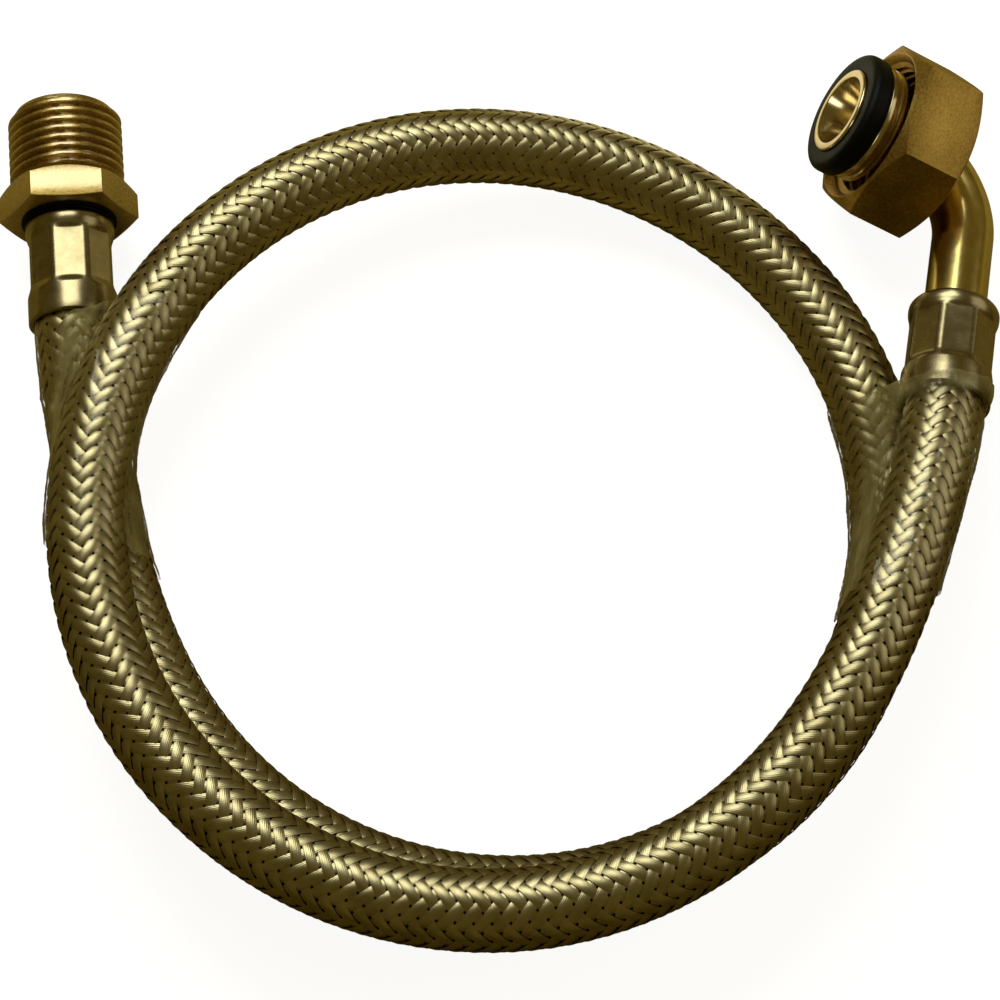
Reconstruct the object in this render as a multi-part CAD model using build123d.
from build123d import *
import math
import os

# Braided flexible supply hose, coiled in two turns and held by two film wraps.
# One end has a G 1/2 male connector (-X side), the other a 90 degree tube
# elbow with a G 3/4 union nut (+X side). Millimetres, +Z up. The coil lies on
# z = 0 with the origin at the middle of its footprint.

CLEARANCE = 0.05                  # between parts that touch
THREAD_PITCH = 1.814              # G 1/2 and G 3/4

# ---- hose ----
BRAID_R = 6.9
BRAID_WALL = 0.45
LINER_R = BRAID_R - BRAID_WALL - CLEARANCE
LINER_BORE_R = 4.7
ELBOW_END_LEN = 27.0              # hose length kept as a separate end piece
MALE_END_LEN = 33.0
LINER_FROM_RIM = 2.0              # from the sleeve rim to the end of the hose

# ---- crimp sleeves, heights from the rim toward the hose ----
SLEEVE_LEN = 20.0
SLEEVE_LIP = 0.9                  # rim thickness
SLEEVE_RIM_R = 8.15
SLEEVE_BORE_R = 6.96
CRIMP_R = 7.85
CRIMP_AF = 14.8                   # across the eight crimp flats
FLATS_FROM = 3.3
FLATS_LEN = 10.0
FLATS_CUT_R = 9.5
BAND_R = 8.1                      # raised band at the hose end
BAND_FROM = 14.8
BAND_WALL = 0.5

# ---- barbed tail of both fittings, heights from the rim outward ----
BORE_R = 3.3
TAIL_LEN = 18.0
TAIL_R = 4.3
TAIL_TIP_R = 3.9
TAIL_TIP_LEN = 0.8
BARB_R = 4.65
BARB_COUNT = 4
BARB_PITCH = 3.4
HEAD_R = 5.9                      # collar caught behind the sleeve lip
HEAD_FROM = -1.9
HEAD_TO = -1.0

# ---- male connector, heights from the sleeve rim outward ----
NECK_R = 6.0
NECK_LEN = 0.9                    # between sleeve and hexagon
NECK_RING_R = 8.05
HEX_AF = 22.0
HEX_LEN = 6.4
HEX_BEVEL = 0.35
HEX_HOLE_R = 8.0                  # hexagon is a ring around the turned core
HEX_CORE_R = 8.6
MALE_CREST_R = 10.4775            # G 1/2
MALE_ROOT_R = 9.316
MALE_THREAD_LEN = 15.6
MOUTH_R = 7.4
MOUTH_DEPTH = 8.5
MOUTH_CONE_LEN = 4.1
MALE_TURN = 6.5                   # degrees about the fitting's axis

# ---- elbow, distances from the point where its two axes meet ----
TUBE_R = 5.6
TUBE_BORE_R = 4.6
BEND_R = 15.0
INSERT_REACH = 6.0                # wide part of the insert, beyond the rim
SLEEVE_RIM_AT = 31.0              # along the hose axis
TUBE_END_AT = 20.7                # this and the rest along the nut axis
NUT_BACK_AT = 8.4
NUT_LEN = 14.4
NUT_AF = 30.0
NUT_BEVEL = 0.6
NUT_WEB = 3.5                     # wall at the back of the nut
NUT_WEB_R = 9.6                   # hole in that wall
NUT_MINOR_R = 12.06               # G 3/4
NUT_MAJOR_R = 13.22
NUT_MOUTH_R = 14.2
NUT_TURN = 113.0                  # hexagon phase, degrees
SOCKET_AT = 16.2
SOCKET_R = 7.1
FLANGE_AT = 21.8
FLANGE_LEN = 3.2
FLANGE_END_AT = FLANGE_AT + FLANGE_LEN
FLANGE_R = 10.9
FLANGE_GROOVE = 0.45
NOSE_R = 8.0
NOSE_END_AT = 29.5
NIPPLE_BORE_R = 4.2
RING_R = 11.5
RING_BORE_R = 8.06
RING_LEN = 4.0
SLIP_R = 11.7
SLIP_BORE_R = 7.3
SLIP_LEN = 1.0

# ---- film wraps ----
FILM_GAP = 0.25                   # clearance round each hose run
FILM_WALL = 0.25
FLOOR_LIFT = 0.675                # film underside below z = 0 of HOSE_POINTS
KEEP_SIZE = 400.0                 # block that keeps the film above its floor
KEEP_HEIGHT = 100.0
SLANT_STEP = 2.0                  # half the Y step used to measure hose slant

# Moves everything from the frame of HOSE_POINTS to the final frame
FRAME_SHIFT = Pos(-7.065, -6.245, FLOOR_LIFT)

# Hose centre line (x, y, z), from the elbow end to the male end: the upper
# turn first, then the lower turn
HOSE_POINTS = [
    (86.17, 19.28, 18.55), (84.43, 11.60, 19.68), (82.23, 3.99, 20.45), (79.78, -3.56, 20.96),
    (77.13, -11.06, 21.27), (74.21, -18.46, 21.46), (70.92, -25.71, 21.56), (67.15, -32.72, 21.59),
    (62.85, -39.41, 21.58), (57.98, -45.70, 21.54), (52.53, -51.50, 21.48), (46.51, -56.70, 21.40),
    (39.95, -61.20, 21.31), (32.91, -64.90, 21.21), (25.48, -67.73, 21.10), (17.75, -69.63, 21.00),
    (9.85, -70.56, 20.91), (1.90, -70.53, 20.83), (-5.99, -69.55, 20.77), (-13.72, -67.65, 20.73),
    (-21.17, -64.88, 20.72), (-28.26, -61.27, 20.73), (-34.90, -56.89, 20.77),
    (-41.00, -51.78, 20.83), (-46.48, -46.02, 20.91), (-51.28, -39.67, 21.00),
    (-55.33, -32.82, 21.10), (-58.58, -25.57, 21.20), (-61.00, -17.99, 21.28),
    (-62.56, -10.19, 21.34), (-63.25, -2.26, 21.37), (-63.07, 5.69, 21.34), (-62.02, 13.58, 21.27),
    (-60.13, 21.30, 21.12), (-57.43, 28.78, 20.90), (-53.93, 35.92, 20.60), (-49.70, 42.65, 20.21),
    (-44.77, 48.87, 19.72), (-39.20, 54.52, 19.14), (-33.06, 59.53, 18.46), (-26.41, 63.83, 17.68),
    (-19.33, 67.36, 16.82), (-11.92, 70.09, 15.89), (-4.25, 71.96, 14.89), (3.57, 72.97, 13.84),
    (11.45, 73.08, 12.78), (19.30, 72.31, 11.71), (27.01, 70.66, 10.68), (34.50, 68.14, 9.72),
    (41.65, 64.77, 8.85), (48.38, 60.60, 8.11), (54.59, 55.66, 7.53), (60.17, 50.01, 7.10),
    (65.06, 43.74, 6.93), (69.17, 36.93, 6.93), (72.46, 29.69, 6.93), (74.91, 22.12, 6.93),
    (76.49, 14.32, 6.93), (77.21, 6.40, 6.95), (77.05, -1.55, 7.07), (76.03, -9.44, 7.16),
    (74.15, -17.17, 7.23), (71.43, -24.65, 7.26), (67.89, -31.77, 7.26), (63.56, -38.44, 7.24),
    (58.47, -44.56, 7.19), (52.70, -50.03, 7.12), (46.31, -54.77, 7.05), (39.40, -58.70, 6.98),
    (32.06, -61.77, 6.93), (24.40, -63.94, 6.93), (16.55, -65.19, 6.93), (8.60, -65.51, 6.93),
    (0.67, -64.91, 6.93), (-7.14, -63.40, 6.93), (-14.72, -60.99, 6.93), (-21.97, -57.71, 6.98),
    (-28.79, -53.61, 7.03), (-35.08, -48.74, 7.08), (-40.77, -43.19, 7.11), (-45.83, -37.04, 7.12),
    (-50.22, -30.41, 7.09), (-53.97, -23.40, 7.01), (-57.14, -16.10, 6.93), (-59.80, -8.60, 6.93),
    (-62.01, -0.95, 6.93), (-63.89, 6.78, 6.93), (-65.52, 14.55, 7.45), (-66.98, 22.28, 8.60),
    (-68.27, 29.99, 10.20), (-69.26, 37.83, 11.00),
]
LAST_POINT = len(HOSE_POINTS) - 1

# Film name: (Y stations, lower hose run, upper hose run); a run is a pair of
# indices into HOSE_POINTS. Left is -X, right is +X.
FILM_WRAPS = {
    "left_film_wrap": ((-12, -4, 4, 12, 20, 28), (LAST_POINT - 12, LAST_POINT), (20, 42)),
    "right_film_wrap": ((-16, -9, -2, 5, 12), (48, 68), (0, 10)),
}


# ---- shared shapes ----
def turned(profile):
    """Solid of revolution about local Z from (radius, height) points."""
    face = make_face(Polyline(*[(r, 0, z) for r, z in profile], close=True))
    return revolve(face, axis=Axis.Z)


def prism(sides, across_flats, start, length, turn):
    """Regular prism along local Z."""
    outline = RegularPolygon(radius=across_flats / 2, side_count=sides, major_radius=False)
    return Pos(0, 0, start) * extrude(Rot(0, 0, turn) * outline, length)


def hexagon(across_flats, start, length, turn, bevel):
    """Hexagonal prism along local Z, corners turned off at 30 degrees."""
    body = prism(6, across_flats, start, length, turn)
    bevel_r = across_flats / 2 - bevel
    outer_r = across_flats / math.sqrt(3.0) + 0.2
    drop = (outer_r - bevel_r) * math.tan(math.radians(30))
    end = start + length
    cone = turned([
        (0, start), (bevel_r, start), (outer_r, start + drop),
        (outer_r, end - drop), (bevel_r, end), (0, end),
    ])
    return body & cone


def ring_thread(crest_r, root_r, start, end):
    """Profile points of ring-shaped thread crests between two heights."""
    points = []
    z = start
    while z + THREAD_PITCH <= end + 1e-6:
        points += [
            (root_r, z + 0.10 * THREAD_PITCH),
            (crest_r, z + 0.40 * THREAD_PITCH),
            (crest_r, z + 0.60 * THREAD_PITCH),
            (root_r, z + 0.90 * THREAD_PITCH),
        ]
        z += THREAD_PITCH
    return points


def tail_profile():
    """Outer contour of the barbed tail, from its tip up through the head."""
    z = -TAIL_LEN + TAIL_TIP_LEN
    points = [(TAIL_TIP_R, -TAIL_LEN), (TAIL_R, z)]
    for _ in range(BARB_COUNT):
        points += [(BARB_R, z + 2.0), (BARB_R, z + 2.4), (TAIL_R, z + 2.6)]
        z += BARB_PITCH
    return points + [(TAIL_R, HEAD_FROM), (HEAD_R, HEAD_FROM), (HEAD_R, HEAD_TO)]


# ---- places and directions ----
def frame(origin, z_dir, x_dir):
    return Plane(origin=origin, x_dir=x_dir, z_dir=z_dir).location


def square_to(direction, axis):
    """Unit vector nearest to direction that is square to axis."""
    return (direction - axis * direction.dot(axis)).normalized()


UP = Vector(0, 0, 1)
spine = Spline(*[Vector(*point) for point in HOSE_POINTS])
elbow_start = spine @ 0
male_start = spine @ 1

# Both hose axes point out of the hose into the fitting
male_axis = spine % 1
male_up = square_to(UP, male_axis)
male_turn = math.radians(MALE_TURN)
male_side = male_up * math.cos(male_turn) + male_axis.cross(male_up) * math.sin(male_turn)
male_rim = male_start + male_axis * SLEEVE_LEN

elbow_axis = (spine % 0) * -1.0
elbow_side = square_to(UP, elbow_axis)
elbow_rim = elbow_start + elbow_axis * SLEEVE_LEN
elbow_corner = elbow_rim + elbow_axis * SLEEVE_RIM_AT     # the two axes meet here
nut_axis = square_to(Vector(-0.8697, 0.2373, 0.4327), elbow_axis)
nut_side = UP.cross(nut_axis).normalized()

male_frame = frame(male_rim, male_axis, male_side)
male_sleeve_frame = frame(male_rim, male_axis * -1.0, male_side)
elbow_frame = frame(elbow_rim, elbow_axis, elbow_side)
elbow_sleeve_frame = frame(elbow_rim, elbow_axis * -1.0, elbow_side)
nut_frame = frame(elbow_corner, nut_axis, nut_side)


# ---- hose ----
def tube_along(path, outer_r, inner_r):
    """Tube swept along a path: two swept walls closed by two flat rings."""
    plane = Plane(origin=path @ 0, z_dir=path % 0)
    faces, caps = [], []
    for radius in (outer_r, inner_r):
        rod = sweep(plane * Circle(radius), path=path)
        caps.append([f for f in rod.faces() if f.geom_type == GeomType.PLANE])
        faces += [f for f in rod.faces() if f.geom_type != GeomType.PLANE]
    for cap in caps[0]:
        hole = min(caps[1], key=lambda f: (f.center() - cap.center()).length)
        faces.append(Face(cap.outer_wire(), [hole.outer_wire()]))
    return Solid(Shell(faces))


def hose_paths():
    """Coil and the two end pieces, which run on straight into the sleeves."""
    elbow_cut = ELBOW_END_LEN / spine.length
    male_cut = 1.0 - MALE_END_LEN / spine.length
    inside = SLEEVE_LEN - LINER_FROM_RIM
    return {
        "coil": spine.trim(elbow_cut, male_cut),
        "elbow_end": Wire([
            Edge.make_line(elbow_start + elbow_axis * inside, elbow_start),
            spine.trim(0.0, elbow_cut),
        ]),
        "male_end": Wire([
            spine.trim(male_cut, 1.0),
            Edge.make_line(male_start, male_start + male_axis * inside),
        ]),
    }


# ---- crimp sleeve, local Z from the rim toward the hose ----
def sleeve(neck_r):
    lip_r = neck_r + CLEARANCE
    shell = turned([
        (lip_r, 0.0), (7.2, 0.0), (7.75, 0.25), (SLEEVE_RIM_R, 0.75), (SLEEVE_RIM_R, 1.7),
        (7.95, 2.5), (CRIMP_R, 3.0), (CRIMP_R, 13.6), (BAND_R, BAND_FROM), (BAND_R, 19.3),
        (BAND_R - 0.25, SLEEVE_LEN), (SLEEVE_BORE_R, SLEEVE_LEN),
        (SLEEVE_BORE_R, SLEEVE_LIP + 0.8), (SLEEVE_BORE_R - 0.3, SLEEVE_LIP),
        (lip_r, SLEEVE_LIP),
    ])
    band_bore_r = BAND_R - BAND_WALL
    band_bore = turned([
        (6.0, 14.9), (band_bore_r, 14.9), (band_bore_r, 19.2), (SLEEVE_BORE_R, 19.7), (6.0, 19.7),
    ])
    flats_end = FLATS_FROM + FLATS_LEN
    flats = turned([
        (0, FLATS_FROM), (FLATS_CUT_R, FLATS_FROM), (FLATS_CUT_R, flats_end), (0, flats_end),
    ]) - prism(8, CRIMP_AF, FLATS_FROM, FLATS_LEN, 22.5)
    return shell - band_bore - flats


# ---- male connector, local Z from the rim outward ----
def male_connector():
    hex_end = NECK_LEN + HEX_LEN
    end = hex_end + MALE_THREAD_LEN
    relief_r = MALE_ROOT_R - 0.3
    outer = tail_profile()
    outer += [
        (NECK_R, HEAD_TO), (NECK_R, NECK_LEN), (HEX_CORE_R, NECK_LEN + 0.4),
        (HEX_CORE_R, hex_end + 0.1), (relief_r, hex_end + 0.1), (relief_r, hex_end + 0.9),
    ]
    outer += ring_thread(MALE_CREST_R, MALE_ROOT_R, hex_end + 0.6, end - 0.1)
    outer += [(MALE_ROOT_R - 0.1, end)]
    mouth_floor = end - MOUTH_DEPTH
    inner = [
        (MOUTH_R, end), (MOUTH_R, mouth_floor),
        (BORE_R, mouth_floor - MOUTH_CONE_LEN), (BORE_R, -TAIL_LEN),
    ]
    core = turned(outer + inner)
    hex_ring = hexagon(HEX_AF, NECK_LEN, HEX_LEN, 30, HEX_BEVEL)
    hex_ring = hex_ring - Pos(0, 0, NECK_LEN) * extrude(Circle(HEX_HOLE_R), HEX_LEN)
    return core + hex_ring


def neck_ring():
    """Ring filling the neck between sleeve and hexagon."""
    bore_r = NECK_R + CLEARANCE
    bevel_r = NECK_RING_R - 0.2
    end = NECK_LEN - CLEARANCE
    return turned([
        (bore_r, CLEARANCE), (bevel_r, CLEARANCE), (NECK_RING_R, 0.2),
        (NECK_RING_R, NECK_LEN - 0.2), (bevel_r, end), (bore_r, end),
    ])


# ---- elbow ----
def elbow_insert():
    """Barbed tail that reaches into the tube, local Z from the rim outward."""
    reach_r = TUBE_BORE_R - CLEARANCE
    return turned(tail_profile() + [
        (reach_r, HEAD_TO), (reach_r, INSERT_REACH), (BORE_R, INSERT_REACH), (BORE_R, -TAIL_LEN),
    ])


def elbow_tube():
    start = elbow_corner - elbow_axis * (SLEEVE_RIM_AT + SLEEVE_LIP)
    bend_start = elbow_corner - elbow_axis * BEND_R
    bend_centre = bend_start + nut_axis * BEND_R
    bend_middle = bend_centre + (elbow_corner - bend_centre).normalized() * BEND_R
    bend_end = elbow_corner + nut_axis * BEND_R
    path = Wire([
        Edge.make_line(start, bend_start),
        Edge.make_three_point_arc(bend_start, bend_middle, bend_end),
        Edge.make_line(bend_end, elbow_corner + nut_axis * TUBE_END_AT),
    ])
    plane = Plane(origin=start, z_dir=elbow_axis)
    return sweep(plane * Circle(TUBE_R), path=path) - sweep(
        plane * Circle(TUBE_BORE_R), path=path
    )


# The pieces below have local Z along the nut axis, from the elbow corner
def seal_nipple():
    """Socket over the tube end, grooved flange and nose."""
    socket_bore_r = TUBE_R + CLEARANCE
    groove_r = FLANGE_R - FLANGE_GROOVE
    tube_stop = TUBE_END_AT + CLEARANCE
    return turned([
        (socket_bore_r, SOCKET_AT), (SOCKET_R - 0.5, SOCKET_AT), (SOCKET_R, SOCKET_AT + 0.6),
        (SOCKET_R, FLANGE_AT), (FLANGE_R - 0.2, FLANGE_AT), (FLANGE_R, FLANGE_AT + 0.2),
        (FLANGE_R, FLANGE_AT + 1.0), (groove_r, FLANGE_AT + 1.25),
        (groove_r, FLANGE_AT + 1.65), (FLANGE_R, FLANGE_AT + 1.9),
        (FLANGE_R, FLANGE_END_AT - 0.2), (FLANGE_R - 0.2, FLANGE_END_AT),
        (NOSE_R, FLANGE_END_AT), (NOSE_R, NOSE_END_AT - 0.35),
        (NOSE_R - 0.35, NOSE_END_AT), (6.5, NOSE_END_AT), (NIPPLE_BORE_R, TUBE_END_AT + 2.4),
        (NIPPLE_BORE_R, tube_stop), (socket_bore_r, tube_stop),
    ])


def seal_ring():
    """Rounded ring on the nose, against the flange."""
    start = FLANGE_END_AT + CLEARANCE
    end = start + RING_LEN
    return turned([
        (RING_BORE_R, start), (RING_R - 0.9, start), (RING_R - 0.35, start + 0.25),
        (RING_R, start + 0.9), (RING_R, end - 1.5), (RING_R - 0.35, end - 0.75),
        (RING_R - 1.1, end - 0.2), (RING_R - 1.9, end), (RING_BORE_R, end),
    ])


def slip_ring():
    """Flat washer against the inside of the nut's back wall."""
    start = NUT_BACK_AT + NUT_WEB + CLEARANCE
    end = start + SLIP_LEN
    return turned([(SLIP_BORE_R, start), (SLIP_R, start), (SLIP_R, end), (SLIP_BORE_R, end)])


def union_nut():
    back = NUT_BACK_AT
    web_end = back + NUT_WEB
    end = back + NUT_LEN
    hollow = [(0, back), (NUT_WEB_R, back), (NUT_WEB_R, web_end), (NUT_MINOR_R, web_end)]
    hollow += ring_thread(NUT_MAJOR_R, NUT_MINOR_R, web_end + 1.6, end - 1.8)
    hollow += [
        (NUT_MINOR_R, end - 1.75), (NUT_MAJOR_R, end - 1.15), (NUT_MOUTH_R, end), (0, end),
    ]
    return hexagon(NUT_AF, back, NUT_LEN, NUT_TURN, NUT_BEVEL) - turned(hollow)


# ---- film wraps ----
def run_at(y, run):
    """Point where a run of the hose centre line crosses the plane Y = y."""
    for i in range(*run):
        p, q = HOSE_POINTS[i], HOSE_POINTS[i + 1]
        if (p[1] - y) * (q[1] - y) <= 0 and p[1] != q[1]:
            share = (y - p[1]) / (q[1] - p[1])
            return [p[j] + share * (q[j] - p[j]) for j in range(3)]


def half_width_at(y, run):
    """Half width of the slanting hose where the plane Y = y cuts it."""
    before, after = run_at(y - SLANT_STEP, run), run_at(y + SLANT_STEP, run)
    step = 2 * SLANT_STEP
    return BRAID_R * math.hypot(after[0] - before[0], step) / step


def stadium(centre_1, centre_2, radius):
    """Face in a plane of constant Y, round both centres."""
    dx, dz = centre_2[0] - centre_1[0], centre_2[2] - centre_1[2]
    span = math.hypot(dx, dz)
    along = Vector(dx / span, 0, dz / span) * radius
    across = Vector(-dz / span, 0, dx / span) * radius
    a, b = Vector(*centre_1), Vector(*centre_2)
    return Face(Wire([
        Edge.make_line(a + across, b + across),
        Edge.make_three_point_arc(b + across, b + along, b - across),
        Edge.make_line(b - across, a - across),
        Edge.make_three_point_arc(a - across, a - along, a + across),
    ]))


def film_body(stations, lower, upper, gap, floor):
    """Loft round both hose runs, cut flat at the floor height."""
    rings = []
    for y in stations:
        radius = max(half_width_at(y, lower), half_width_at(y, upper)) + gap
        rings.append(stadium(run_at(y, lower), run_at(y, upper), radius))
    keep = Pos(0, 0, floor + KEEP_HEIGHT / 2) * Box(KEEP_SIZE, KEEP_SIZE, KEEP_HEIGHT)
    return loft(rings) & keep


def film_wrap(*runs):
    outer = film_body(*runs, gap=FILM_GAP + FILM_WALL, floor=-FLOOR_LIFT)
    # The film is half as thick where it lies on the floor
    return outer - film_body(*runs, gap=FILM_GAP, floor=FILM_WALL / 2 - FLOOR_LIFT)


# ---- all parts ----
parts = {
    "male_ferrule": male_sleeve_frame * sleeve(NECK_R),
    "elbow_ferrule": elbow_sleeve_frame * sleeve(TUBE_R),
    "male_connector": male_frame * male_connector(),
    "male_neck_ring": male_frame * neck_ring(),
    "elbow_insert": elbow_frame * elbow_insert(),
    "elbow_tube": elbow_tube(),
    "seal_nipple": nut_frame * seal_nipple(),
    "seal_ring": nut_frame * seal_ring(),
    "slip_ring": nut_frame * slip_ring(),
    "union_nut": nut_frame * union_nut(),
}
for run_name, path in hose_paths().items():
    parts[run_name + "_braid"] = tube_along(path, BRAID_R, BRAID_R - BRAID_WALL)
    parts[run_name + "_liner"] = tube_along(path, LINER_R, LINER_BORE_R)
for name, runs in FILM_WRAPS.items():
    parts[name] = film_wrap(*runs)

os.makedirs("parts", exist_ok=True)
for name, shape in parts.items():
    solids = shape.solids()
    if len(solids) != 1:
        raise ValueError(f"{name} has {len(solids)} solids")
    export_step(FRAME_SHIFT * solids[0], f"parts/{name}.step")
